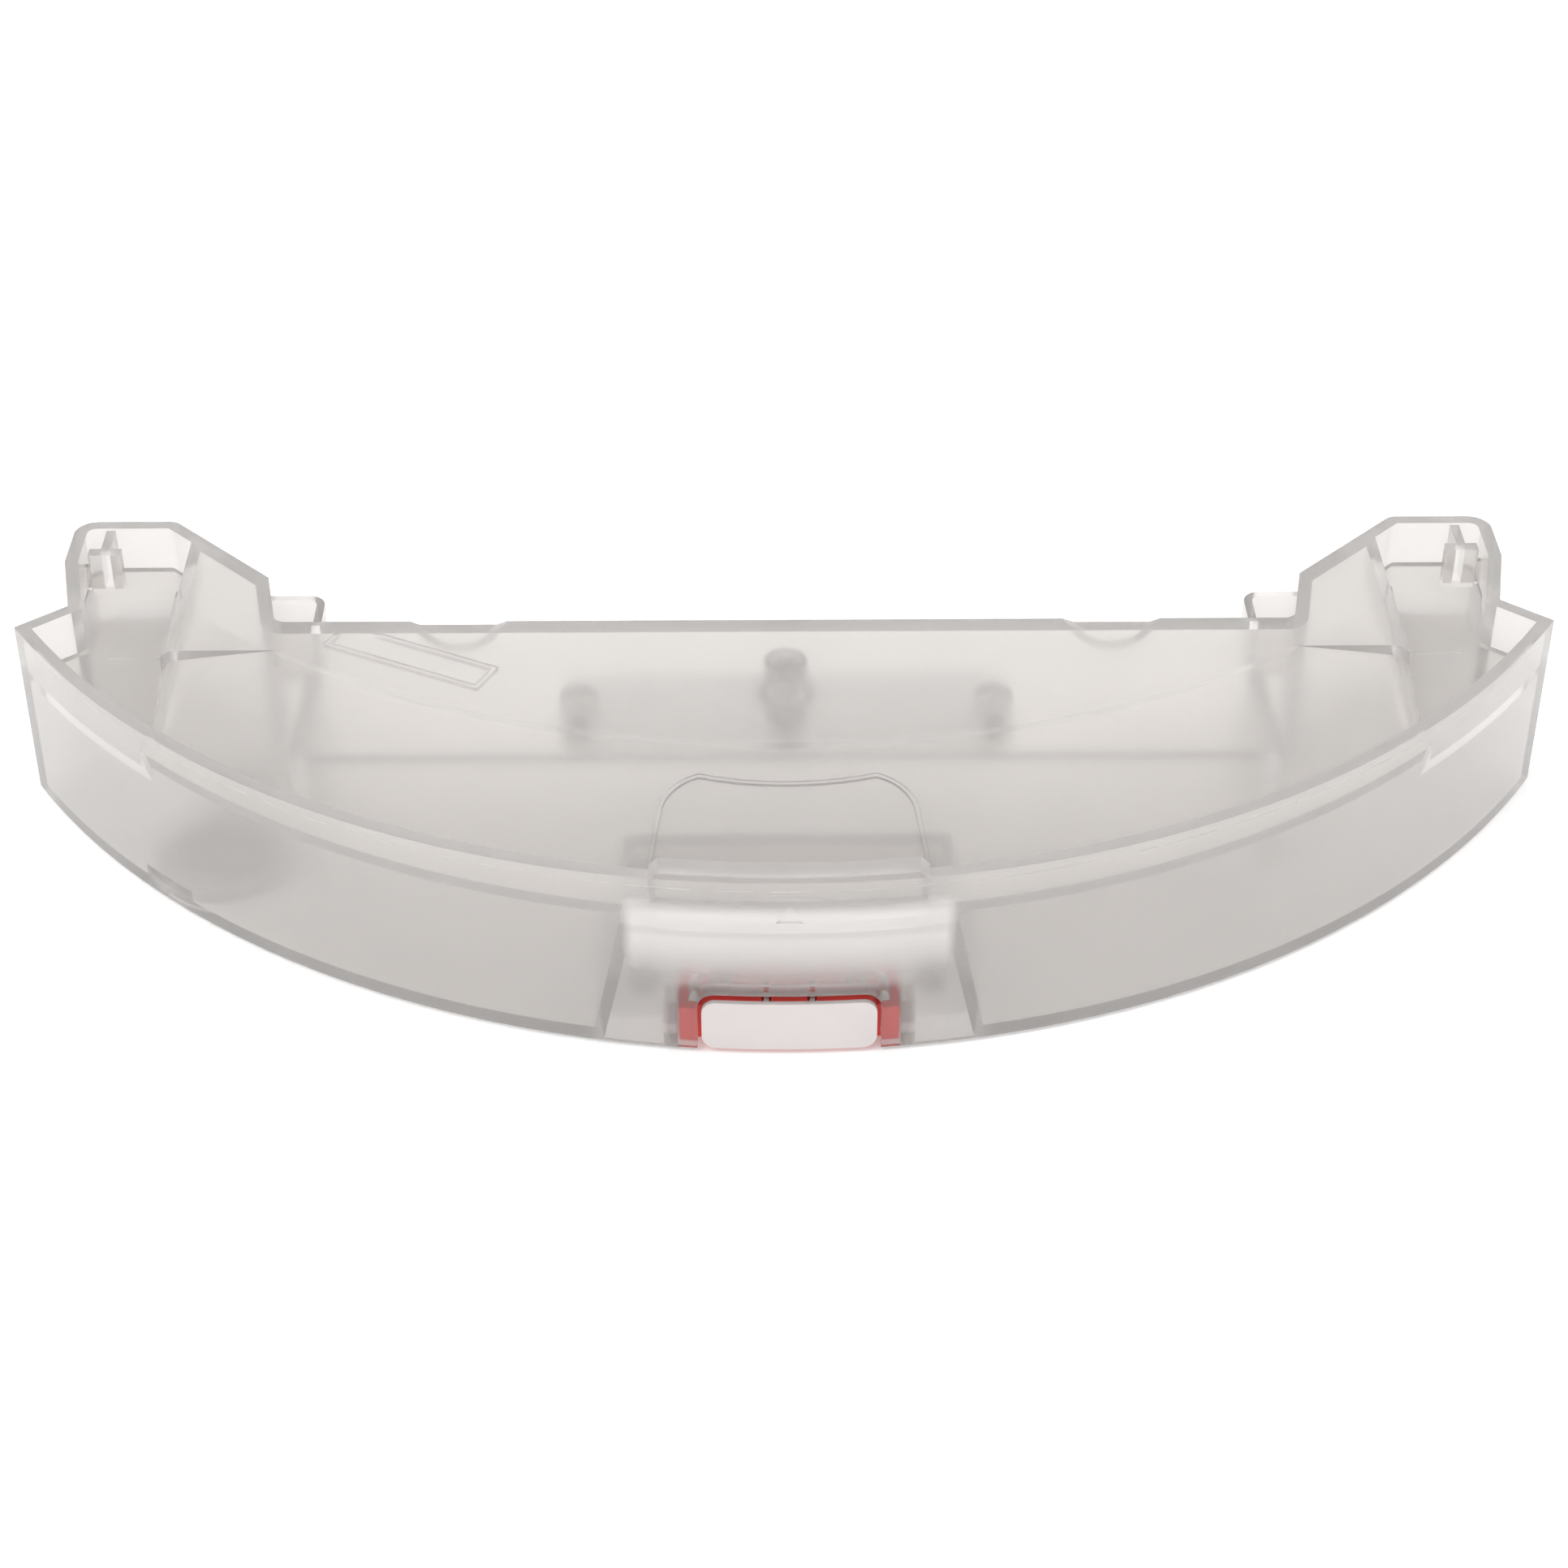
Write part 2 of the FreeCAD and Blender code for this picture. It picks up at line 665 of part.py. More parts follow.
def finger_bead():
    """The thin bead round the finger area, standing on the sloping field."""
    corners = [("finger_front_half", "finger_front_depth", None), ("finger_rear_half", "finger_rear_depth", "finger_round")]
    line = profile("BeadLine", corners)
    centre = "finger_dip_depth + finger_dip_radius"
    outside = cut("BeadOutside", extrude("BeadPrism", line, "lap_level", "height"),
                  cylinder("BeadDip", "finger_dip_radius", "0", centre, "0", "height + beyond"))
    inside = cut("BeadInside", extrude("BeadInnerPrism", inset("BeadInnerLine", line, "bead"), "0", "height + beyond"),
                 cylinder("BeadInnerDip", "finger_dip_radius + bead", "0", centre, "-beyond", "height + 2 * beyond"))
    return common("Bead", cut("BeadBand", outside, inside), slope_cone("BeadTop", "-bead_high"))


def ledge():
    corners = [
        ("ledge_half", "lap", None),
        ("ledge_half", "ledge_bend_depth", None),
        ("ledge_half - ledge_chamfer", "ledge_rear_depth", None),
    ]
    prism = extrude("LedgePrism", profile("LedgeLine", corners), "lap_level", "height")
    return cut("Ledge", prism, disc("LedgeBack", "outer_radius - wall - ledge"))


def rib_frame():
    """The rectangular rib on the underside of the flat field."""
    frames = []
    for name, spare, top in (("FrameOutside", "0", "height"), ("FrameInside", "frame_rib", "height + beyond")):
        long, wide = "(frame_long / 2 - %s)" % spare, "(frame_wide / 2 - %s)" % spare
        turned = "cos(frame_turn * 1deg)", "sin(frame_turn * 1deg)"
        box = doc.addObject("Part::Box", name)
        bind(box, Length="2 * " + long, Width="2 * " + wide, Height=top)
        place(box, "-frame_x - %s * %s - %s * %s" % (long, turned[0], wide, turned[1]),
              "frame_depth + %s * %s - %s * %s" % (long, turned[1], wide, turned[0]),
              "height - plate - frame_deep", turn=Rotation(Vector(0, 0, 1), 1))
        frames.append(bind(box, Placement_Rotation_Angle="-frame_turn * 1deg"))
    return cut("RibFrame", *frames)


def wing_pockets(inner_line):
    """The open pockets in the wings, with the posts and webs left standing in them."""
    room = common("PocketRoom", extrude("PocketPrism", inner_line, "pocket_floor_level", "height + beyond"),
                  block("PocketSide", "partition_half", "outer_radius", "0", "depth", "0", "2 * height"))
    plate = block("PostPlate", "post_x - post_half", "post_x + post_half", "post_depth", "post_depth + post_thick",
                  "0", "post_top")
    rib = block("PostRib", "post_x - post_rib_half", "post_x + post_rib_half", "post_depth + post_thick / 2", "depth",
                "0", "post_top")
    web = block("LowWeb", "post_x", "wing_half", "low_web_depth", "low_web_depth + low_web", "0", "low_web_top")
    gusset = doc.addObject("Part::Wedge", "Gusset")
    bind(gusset, Xmin="partition_half - beyond", Xmax="partition_half + gusset_foot")
    bind(gusset, X2min="partition_half - beyond", X2max="partition_half + gusset_head")
    bind(gusset, Ymin="0", Ymax="gusset_top - pocket_floor_level", Zmin="0", Zmax="gusset")
    bind(gusset, Z2min="0", Z2max="gusset")
    place(gusset, "0", "gusset_depth + gusset / 2", "pocket_floor_level", turn=UPRIGHT)
    mark = block("FloorMark", "floor_mark_inner", "floor_mark_outer", "floor_mark_front", "floor_mark_rear",
                 "pocket_floor_level - floor_mark_deep", "height")
    pocket = cut("Pocket", room, plate, rib, web, gusset)
    return fuse("WingPockets", both("Pockets", pocket), both("FloorMarks", common("FloorMarkRoom", mark, mark_room(inner_line))))


def mark_room(inner_line):
    return extrude("MarkRoom", inner_line, "lap_level", "pocket_floor_level + beyond / 2")


def mop_side_cover(outer, skirt_line, inner_line):
    """The welded cover: rim, skirt, flat field, crease, sloping field and open wing pockets."""
    solid = fuse("CoverBlock", extrude("CoverTop", outer, SEAM, "height"),
                 extrude("CoverSkirt", skirt_line, "lap_level", SEAM + " + beyond / 2"))
    under_half = "partition_half - partition"
    under = block("UnderSide", "-(%s)" % under_half, under_half, "0", "depth", "0", "height")
    under = common("UnderRoom", extrude("UnderPrism", inner_line, "0", "height"), under,
                   slope_cone("UnderSlope", "plate"))
    under = cut("Underside", under, rib_frame())
    field = [("partition_half", "lap", None), ("partition_half", "shelf_front", "shelf_round")]
    front = extrude("FrontSide", profile("FieldLine", field), "0", "2 * height")
    front = common("FrontRoom", extrude("FrontPrism", inner_line, "lap_level", "height + beyond"), front)
    front = cut("FrontField", front, slope_cone("FrontSlope", "0"), ledge(), finger_bead())
    return node(cut("Cover", solid, under, front, wing_pockets(inner_line), half_moons("CoverMoon")), "mop_side_cover")


def button_and_slider():
    """The button's cap and the slider behind it, which rise together to free the latch."""
    tenon = block("Tenon", "-tenon_half", "tenon_half", "0", "latch_rear", "tenon_bottom", "tenon_top")
    tenon = common("TenonShort", tenon, disc("TenonRoom", BUTTON_BACK + " + button_thick / 2"))
    tenon = cut("TenonTrimmed", tenon, disc("TenonEnd", BUTTON_BACK + " - tenon_long"))
    corners = [("button_half", "button_bottom", "button_round"), ("button_half", "button_top", "button_round")]
    upright = extrude_back("ButtonPrism", profile("ButtonLine", corners, turn=UPRIGHT), "-beyond", "guide_rear")
    cap = cut("ButtonCap", common("ButtonRound", upright, disc("ButtonFront", "outer_radius")),
              disc("ButtonBack", BUTTON_BACK))
    node(fuse("Button", cap, tenon), "release_button")

    core = common("LatchCore", extrude_back("LatchCorePrism", profile("CoreLine", corners, turn=UPRIGHT), "-beyond",
                                            "guide_rear"), disc("LatchCoreFront", BUTTON_BACK))
    arms = block("LatchArms", "-latch_half", "latch_half", "0", "guide_rear + beyond", "button_bottom", "latch_top")
    plate = block("LatchPlate", "-latch_half", "latch_half", "guide_rear / 2", "latch_rear",
                  RETAINER_TOP + " + slide_gap", RETAINER_TOP + " + slide_gap + latch_plate")
    behind_wall = common("LatchBehindWall", fuse("LatchRear", arms, plate), disc("LatchFace", LATCH_FACE))
    solid = fuse("LatchSolid", core, behind_wall)

    hollow_front = disc("LatchBack", LATCH_FACE + " - latch_front")
    space = block("BehindFront", "-outer_radius", "outer_radius", "0", "depth", LATCH_PLATE_TOP, "height")
    below = block("BelowPlate", "-outer_radius", "outer_radius", "0", "depth", "-beyond", RETAINER_TOP + " + slide_gap")
    room = common("LatchRearRoom", fuse("LatchRearSpaces", space, below), hollow_front)
    mortise = block("Mortise", "-tenon_half - tenon_gap", "tenon_half + tenon_gap", "0", "latch_rear",
                    "tenon_bottom - tenon_gap", "tenon_top + tenon_gap")
    mortise = cut("MortiseTrimmed", mortise, disc("MortiseEnd", BUTTON_BACK + " - tenon_long - tenon_gap"))
    window = block("CatchWindow", "-catch_half", "catch_half", "catch_front", "latch_rear - latch_bar", "0",
                   "latch_top + beyond")
    cup = cylinder("SpringCup", "spring_cup", "spring_x", SPRING_DEPTH, "spring_cup_floor", "slot_top")
    groove = block("RibGroove", "lip_rib_x - lip_rib / 2 - slide_gap", "lip_rib_x + lip_rib / 2 + slide_gap", "-beyond",
                   "guide_rear", "lip_rib_end - latch_travel - slide_gap", "slot_top")
    groove = cut("RibGrooveTrimmed", groove, disc("RibGrooveBack", "outer_radius - lip_rib_inset - lip_rib_reach - slide_gap"))
    node(cut("Latch", solid, room, window, mortise, both("SpringCups", cup), both("RibGrooves", groove)), "latch_slider")


def latch_spring(label, x):
    helix = doc.addObject("Part::Helix", label + "_line")
    bind(helix, Radius="spring_radius", Pitch="spring_pitch", Height="slot_top - spring_cup_floor - 2 * spring_wire")
    place(helix, x, SPRING_DEPTH, "spring_cup_floor + spring_wire")
    wire = doc.addObject("Part::RegularPolygon", label + "_section")
    wire.Polygon = WIRE_SIDES
    bind(wire, Circumradius="spring_wire")
    place(wire, x + " + spring_radius", SPRING_DEPTH, "spring_cup_floor + spring_wire", turn=UPRIGHT)
    doc.recompute()
    sweep = doc.addObject("Part::Sweep", label + "_coil")
    sweep.Sections = [wire]
    sweep.Spine = (helix, ["Edge%d" % k for k in range(1, len(helix.Shape.Edges) + 1)])
    sweep.Solid = True
    sweep.Frenet = True
    node(sweep, label)


def latch_retainer():
    half, rear = "well_half - retainer_gap", "well_rear - retainer_gap"
    line = profile("RetainerLine", [(half, "retainer_front", "retainer_round"), (half, rear, "retainer_round")])
    plate = extrude("RetainerPlate", line, "retainer_inset", RETAINER_TOP)
    window = block("RetainerWindow", "-retainer_window_half", "retainer_window_half", "retainer_window_front",
                   "retainer_window_rear", "-beyond", RETAINER_TOP + " + beyond")
    holes = [screw_hole("RetainerHole_" + side, x, depth, "retainer_inset", RETAINER_TOP)
             for side, x, depth in retainer_screws()]
    node(cut("Retainer", plate, window, *holes), "latch_retainer")
    for side, x, depth in retainer_screws():
        seat_screw("retainer_screw_" + side, x, depth, "retainer_inset")


def outlet_fittings():
    """The cover plate over the outlet, its screws, the rubber seal and the filter disc."""
    corners = [("outlet_cover_half", edge, "outlet_cover_round") for edge in ("outlet_cover_front", "outlet_cover_rear")]
    bottom = OUTLET_SEAT
    plate = extrude("OutletPlate", profile("OutletLine", corners), bottom, DECK_BASE)
    flange_room = cylinder("FlangeRoom", "seal_flange + seal_gap", "0", "outlet_depth",
                           DECK_BASE + " - seal_flange_high", "lap_level")
    neck_room = cylinder("NeckRoom", "seal_neck + seal_gap", "0", "outlet_depth", bottom + " - beyond", "lap_level")
    holes = [screw_hole("OutletHole_" + side, x, depth, bottom, DECK_BASE) for side, x, depth in outlet_screws()]
    node(cut("OutletCover", plate, flange_room, neck_room, *holes), "outlet_cover")
    for side, x, depth in outlet_screws():
        seat_screw("outlet_screw_" + side, x, depth, OUTLET_SEAT)

    flange = cylinder("SealFlange", "seal_flange", "0", "outlet_depth", DECK_BASE + " - seal_flange_high", DECK_BASE)
    neck = cylinder("SealNeck", "seal_neck", "0", "outlet_depth", bottom + " - seal_stand", DECK_BASE)
    bore = cylinder("SealBore", "outlet_bore", "0", "outlet_depth", bottom + " - seal_stand - beyond", "lap_level")
    node(cut("Seal", fuse("SealSolid", flange, neck), bore), "outlet_seal")

    face = cylinder("FilterDisc", "filter_radius - filter_gap", "0", "outlet_depth", "filter_seat",
                    "filter_seat + filter_thick")
    slots = []
    for k in range(FILTER_SLOTS):
        middle = "outlet_depth + (%d - %d) * filter_slot_step" % (k, FILTER_SLOTS // 2)
        slots.append(block("FilterSlot%d" % k, "-filter_slot_half", "filter_slot_half", middle + " - filter_slot / 2",
                           middle + " + filter_slot / 2", "0", "height"))
    node(cut("Filter", face, *slots), "outlet_filter")


def fill_plug():
    """The rubber plug: lid, tapered barrel, strap and the hinge roll at the strap's end."""
    x, depth = "-fill_x", "fill_depth"
    top = "fill_lid_inset + fill_lid_thick"
    lid = cylinder("PlugLid", "fill_dish - fill_gap", x, depth, "fill_lid_inset", top)
    barrel = doc.addObject("Part::Cone", "PlugBarrel")
    bind(barrel, Radius1="fill_port - fill_barrel_gap", Height="fill_barrel_high + fill_lid_thick / 2")
    bind(barrel, Radius2="fill_port - fill_barrel_gap - fill_barrel_taper")
    place(barrel, x, depth, "fill_lid_inset + fill_lid_thick / 2")
    hollow = cylinder("PlugHollow", "fill_port - fill_barrel_gap - fill_barrel_taper - fill_barrel_wall", x, depth, top,
                      "height")
    strap = block("PlugStrap", "-fill_x - fill_strap_half", "-fill_x + fill_strap_half", depth,
                  "fill_hinge_depth", "fill_lid_inset", top)
    roll = hinge_pin("PlugRoll", "fill_hinge_radius", "fill_strap_half")
    pin = hinge_pin("PlugPin", "fill_pin", "fill_strap_half + fill_gap + fill_pin_long - fill_pin_gap")
    node(cut("Plug", fuse("PlugSolid", lid, barrel, strap, roll, pin), hollow), "fill_plug")


def export_nodes():
    doc.recompute()
    for thing in doc.Objects:
        if {"Invalid", "Error"} & set(thing.State):
            raise RuntimeError("%s didn't compute" % thing.Name)
    os.makedirs("parts", exist_ok=True)
    for part in NODES:
        shape = part.Shape
        if shape.isNull() or not shape.isValid() or len(shape.Solids) != 1:
            raise RuntimeError("%s isn't one valid solid" % part.Label)
        shape.exportStep("parts/%s.step" % part.Label)
        box = shape.BoundBox
        print("%-22s %9.1f mm3  x %.2f %.2f  y %.2f %.2f  z %.2f %.2f" % (
            part.Label, shape.Volume, box.XMin, box.XMax, box.YMin, box.YMax, box.ZMin, box.ZMax))


doc = FreeCAD.newDocument("WaterTank")
make_sheet()
outline, skirt, lap, inner = plan_outlines()
tank_body(outline, lap, inner)
mop_side_cover(outline, skirt, inner)
button_and_slider()
latch_spring("latch_spring_left", "-spring_x")
latch_spring("latch_spring_right", "spring_x")
latch_retainer()
outlet_fittings()
fill_plug()
export_nodes()
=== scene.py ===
import math
import random

import bmesh
import bpy
from mathutils import Euler, Matrix, Vector


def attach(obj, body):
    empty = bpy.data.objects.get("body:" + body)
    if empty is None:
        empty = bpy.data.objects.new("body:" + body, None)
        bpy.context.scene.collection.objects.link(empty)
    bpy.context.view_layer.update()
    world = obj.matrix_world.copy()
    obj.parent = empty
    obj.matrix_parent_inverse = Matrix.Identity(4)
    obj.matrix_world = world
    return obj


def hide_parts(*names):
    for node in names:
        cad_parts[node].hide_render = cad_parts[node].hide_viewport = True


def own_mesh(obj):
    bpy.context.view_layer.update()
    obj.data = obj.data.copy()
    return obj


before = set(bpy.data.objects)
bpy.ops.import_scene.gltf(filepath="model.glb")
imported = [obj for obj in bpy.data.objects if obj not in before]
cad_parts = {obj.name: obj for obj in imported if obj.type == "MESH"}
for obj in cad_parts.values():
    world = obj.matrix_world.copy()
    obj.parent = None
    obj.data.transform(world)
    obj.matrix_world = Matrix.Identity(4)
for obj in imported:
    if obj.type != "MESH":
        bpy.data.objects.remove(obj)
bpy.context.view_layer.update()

MM = 0.001

# Camera fitted to the photograph
CAMERA_PLACE = Vector((-0.226, -488.8, 371.6)) * MM
CAMERA_TILT = 36.05
CAMERA_ROLL = 0.015
CAMERA_LENS = 72.77
OBJECT_YAW = 0.5
YAW_PIVOT = Vector((0.0, 25.0, 0.0)) * MM

# Named places of the part, in millimetres
OUTER_RADIUS = 175.0
ARC_CENTRE_Y = 115.0
SEAM_LEVEL = 36.5
LAP_LEVEL = 26.8
WALL = 2.6
LAP = 1.3
TOP_LEVEL = 38.3
TIP_HALF = 147.0
SPRING_X = 11.8
CREASE_RADIUS = 165.5
CREASE_CENTRE_Y = 147.4
SPRING_BOTTOM = 3.2
SPRING_TOP = 13.2
SPRING_INSET = 5.5

# Boxes of the shell whose clearness differs: for X, Y and Z the ends, and how softly each end fades
# The well zone is made less clear, so it shows as a brighter patch: partly the coarser grain of the well
# wall, partly a painted highlight for the light the well catches.
WELL_ZONE = ((-27.0, 27.0, 3.0, 3.0), (-61.0, -54.5, 1.0, 1.0), (26.0, 30.5, 11.0, 4.0))
SLOT_ZONE = ((-21.0, 21.0, 1.5, 1.5), (-61.0, -50.0, 1.0, 1.0), (0.0, 14.0, 2.0, 2.0))

# Light: the world's strength as a lamp and as seen, and the share of the gap that shows through plastic
WORLD_LIGHT = 0.74
WORLD_SEEN = 1.0
SEEN_THROUGH = 0.5


def new_material(name):
    """A node material with one Principled shader, and its node tree."""
    material = bpy.data.materials.new(name)
    material.use_nodes = True
    tree = material.node_tree
    shader = next(node for node in tree.nodes if node.type == "BSDF_PRINCIPLED")
    return material, tree, shader


def set_values(shader, **values):
    for name, value in values.items():
        shader.inputs[name.replace("_", " ")].default_value = value


def place_texture(tree, kind, scale, **values):
    """A procedural texture in the object's own metres."""
    place = tree.nodes.new("ShaderNodeTexCoord")
    texture = tree.nodes.new(kind)
    tree.links.new(place.outputs["Object"], texture.inputs["Vector"])
    texture.inputs["Scale"].default_value = scale
    for name, value in values.items():
        texture.inputs[name].default_value = value
    return texture


def two_tones(tree, factor, first, second, low=0.3, high=0.7):
    """A colour between two tones, led by a texture's value."""
    ramp = tree.nodes.new("ShaderNodeValToRGB")
    ramp.color_ramp.elements[0].position = low
    ramp.color_ramp.elements[1].position = high
    ramp.color_ramp.elements[0].color = (*first, 1)
    ramp.color_ramp.elements[1].color = (*second, 1)
    tree.links.new(factor, ramp.inputs["Fac"])
    return ramp.outputs["Color"]


def add_bump(tree, shader, height, strength, distance):
    bump = tree.nodes.new("ShaderNodeBump")
    bump.inputs["Strength"].default_value = strength
    bump.inputs["Distance"].default_value = distance
    tree.links.new(height, bump.inputs["Height"])
    tree.links.new(bump.outputs["Normal"], shader.inputs["Normal"])


def span(tree, value, low, high, soft_low, soft_high):
    """1 where a value in metres lies between low and high in millimetres, with soft ends."""
    ends = []
    for start, stop in ((low - soft_low, low), (high + soft_high, high)):
        ramp = tree.nodes.new("ShaderNodeMapRange")
        ramp.interpolation_type = "SMOOTHSTEP"
        ramp.inputs["From Min"].default_value = start * MM
        ramp.inputs["From Max"].default_value = stop * MM
        tree.links.new(value, ramp.inputs["Value"])
        ends.append(ramp.outputs[0])
    return times(tree, *ends)


def times(tree, *factors):
    """The product of some values."""
    product = factors[0]
    for factor in factors[1:]:
        node = tree.nodes.new("ShaderNodeMath")
        node.operation = "MULTIPLY"
        tree.links.new(product, node.inputs[0])
        tree.links.new(factor, node.inputs[1])
        product = node.outputs[0]
    return product


def inside_zone(tree, zone):
    """1 inside a box of the part, fading to 0 around it."""
    place = tree.nodes.new("ShaderNodeTexCoord")
    axes = tree.nodes.new("ShaderNodeSeparateXYZ")
    tree.links.new(place.outputs["Object"], axes.inputs[0])
    return times(tree, *(span(tree, axes.outputs[axis], *ends) for axis, ends in zip("XYZ", zone)))


def frosted(name, tint, roughness, transmission, zones=()):
    """Frosted translucent plastic: cloudy tone, fine moulded grain, with its own clearness in some zones."""
    material, tree, shader = new_material(name)
    cloud = place_texture(tree, "ShaderNodeTexNoise", 45.0, Detail=3.0)
    paler = tuple(min(1.0, c * 1.02) for c in tint)
    tree.links.new(two_tones(tree, cloud.outputs["Fac"], tint, paler), shader.inputs["Base Color"])
    grain = place_texture(tree, "ShaderNodeTexNoise", 2600.0, Detail=2.0)
    add_bump(tree, shader, grain.outputs["Fac"], 0.2, 0.00005)
    set_values(shader, Roughness=roughness, Transmission_Weight=transmission, IOR=1.45)
    clear = None
    for zone, target in zones:
        mix = tree.nodes.new("ShaderNodeMix")
        mix.inputs["A"].default_value = transmission
        mix.inputs["B"].default_value = target
        if clear:
            tree.links.new(clear, mix.inputs["A"])
        tree.links.new(inside_zone(tree, zone), mix.inputs["Factor"])
        clear = mix.outputs["Result"]
    if clear:
        tree.links.new(clear, shader.inputs["Transmission Weight"])
    return material


def moulded(name, first, second, roughness, alpha=1.0):
    """Moulded plastic or rubber with slight tone changes and grain."""
    material, tree, shader = new_material(name)
    cloud = place_texture(tree, "ShaderNodeTexNoise", 60.0, Detail=4.0)
    tree.links.new(two_tones(tree, cloud.outputs["Fac"], first, second), shader.inputs["Base Color"])
    grain = place_texture(tree, "ShaderNodeTexNoise", 1800.0, Detail=3.0)
    add_bump(tree, shader, grain.outputs["Fac"], 0.15, 0.00005)
    set_values(shader, Roughness=roughness, Alpha=alpha)
    return material


def metal(name, first, second, roughness):
    """Worn bright metal."""
    material, tree, shader = new_material(name)
    cloud = place_texture(tree, "ShaderNodeTexNoise", 900.0, Detail=4.0)
    tree.links.new(two_tones(tree, cloud.outputs["Fac"], first, second), shader.inputs["Base Color"])
    add_bump(tree, shader, cloud.outputs["Fac"], 0.1, 0.00003)
    set_values(shader, Roughness=roughness, Metallic=1.0)
    return material


# The shell is less clear in the well zone, a brighter patch that is partly painted highlight, and clearer in
# the slot zone.
SHELL = frosted("frosted_shell", (0.948, 0.924, 0.906), 0.24, 0.80,
                zones=((WELL_ZONE, 0.42), (SLOT_ZONE, 0.97)))
CLEAR = moulded("clear_plastic", (0.60, 0.585, 0.575), (0.66, 0.645, 0.635), 0.45, alpha=0.25)
FLASH = frosted("weld_flash", (0.98, 0.97, 0.96), 0.25, 0.3)
RED = moulded("red_plastic", (0.84, 0.05, 0.045), (0.88, 0.07, 0.06), 0.4)
BUTTON = moulded("button_plastic", (0.67, 0.62, 0.61), (0.71, 0.66, 0.645), 0.35)
RUBBER = moulded("grey_rubber", (0.26, 0.24, 0.232), (0.31, 0.29, 0.28), 0.7)
SPRING = metal("spring_steel", (0.42, 0.42, 0.43), (0.6, 0.6, 0.61), 0.3)
SCREW = metal("screw_steel", (0.45, 0.45, 0.46), (0.6, 0.6, 0.6), 0.35)
FILTER = metal("filter_mesh", (0.4, 0.4, 0.41), (0.5, 0.5, 0.51), 0.4)

NODE_MATERIALS = {
    "latch_slider": RED,
    "release_button": BUTTON,
    "latch_retainer": CLEAR,
    "outlet_cover": CLEAR,
    "outlet_seal": RUBBER,
    "outlet_filter": FILTER,
    "fill_plug": RUBBER,
    "retainer_screw_left": SCREW,
    "retainer_screw_right": SCREW,
    "outlet_screw_left": SCREW,
    "outlet_screw_middle": SCREW,
    "outlet_screw_right": SCREW,
}


def dress_nodes():
    """Gives each solid that is shown as it is its material."""
    for name, material in NODE_MATERIALS.items():
        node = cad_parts[name]
        if not node.material_slots:
            node.data.materials.append(material)
        for slot in node.material_slots:
            slot.material = material


def add_object(name, mesh, material, body):
    """A piece of the looks that rides on a body of the part."""
    piece = bpy.data.objects.new(name, mesh)
    bpy.context.scene.collection.objects.link(piece)
    if not mesh.materials:
        mesh.materials.append(material)
    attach(piece, body)
    return piece


def level_of(face, level):
    """True for a face that lies at a level in millimetres."""
    return all(abs(vert.co.z - level * MM) < 0.02 * MM for vert in face.verts)


def is_lap_face(face):
    """True for an upright face that spans the lap joint from the lap level to the seam."""
    heights = [vert.co.z / MM for vert in face.verts]
    at_ends = all(min(abs(z - LAP_LEVEL), abs(z - SEAM_LEVEL)) < 0.02 for z in heights)
    return at_ends and max(heights) - min(heights) > 5 and abs(face.normal.z) < 0.05


def gap_to_lines(point, lines):
    """Distance in plan from a point to the nearest of some lines."""
    nearest = 1.0
    for start, end in lines:
        along = end - start
        share = max(0.0, min(1.0, (point - start).dot(along) / max(along.length_squared, 1e-12)))
        nearest = min(nearest, (point - start - along * share).length)
    return nearest


def weld_laps(bm):
    """Takes away the faces inside the welded lap joint, so that body and cover are one wall."""
    bm.normal_update()
    laps = [face for face in bm.faces if is_lap_face(face)]
    lines = []
    for face in laps:
        for edge in face.edges:
            a, b = (vert.co for vert in edge.verts)
            if abs(a.z - b.z) < 0.1 * MM and a.z < (LAP_LEVEL + 1) * MM:
                lines.append((a.xy, b.xy))
    inside = set(laps)
    reach = (WALL - LAP + 0.15) * MM
    for face in bm.faces:
        if level_of(face, SEAM_LEVEL):
            inside.add(face)
        if level_of(face, LAP_LEVEL):
            if all(gap_to_lines(vert.co.xy, lines) < reach for vert in face.verts):
                inside.add(face)
    bmesh.ops.delete(bm, geom=list(inside), context="FACES")
    bmesh.ops.remove_doubles(bm, verts=bm.verts, dist=0.03 * MM)


def is_on_crease(edge):
    """True for an edge on the circle where the flat field turns into the sloping one."""
    for vert in edge.verts:
        away = math.hypot(vert.co.x, vert.co.y - CREASE_CENTRE_Y * MM)
        if abs(away - CREASE_RADIUS * MM) > 0.6 * MM or vert.co.z < (TOP_LEVEL - 3) * MM:
            return False
    return edge.calc_face_angle(0.0) > math.radians(5)


def sharpen(bm, angle):
    """Smooth faces, with the real edges and the crease kept sharp."""
    for face in bm.faces:
        face.smooth = True
    for edge in bm.edges:
        edge.smooth = edge.calc_face_angle(math.pi) < math.radians(angle) and not is_on_crease(edge)


def smooth_shading(mesh, angle):
    mesh.polygons.foreach_set("use_smooth", [True] * len(mesh.polygons))
    mesh.set_sharp_from_angle(angle=math.radians(angle))


def welded_shell():
    """Body and cover as the one welded shell that the light goes through."""
    bm = bmesh.new()
    for name in ("tank_body", "mop_side_cover"):
        bm.from_mesh(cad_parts[name].data)
    bmesh.ops.remove_doubles(bm, verts=bm.verts, dist=0.001 * MM)
    weld_laps(bm)
    sharpen(bm, 28)
    mesh = bpy.data.meshes.new("welded_shell")
    bm.to_mesh(mesh)
    bm.free()
    piece = add_object("welded_shell", mesh, SHELL, "shell")
    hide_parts("tank_body", "mop_side_cover")


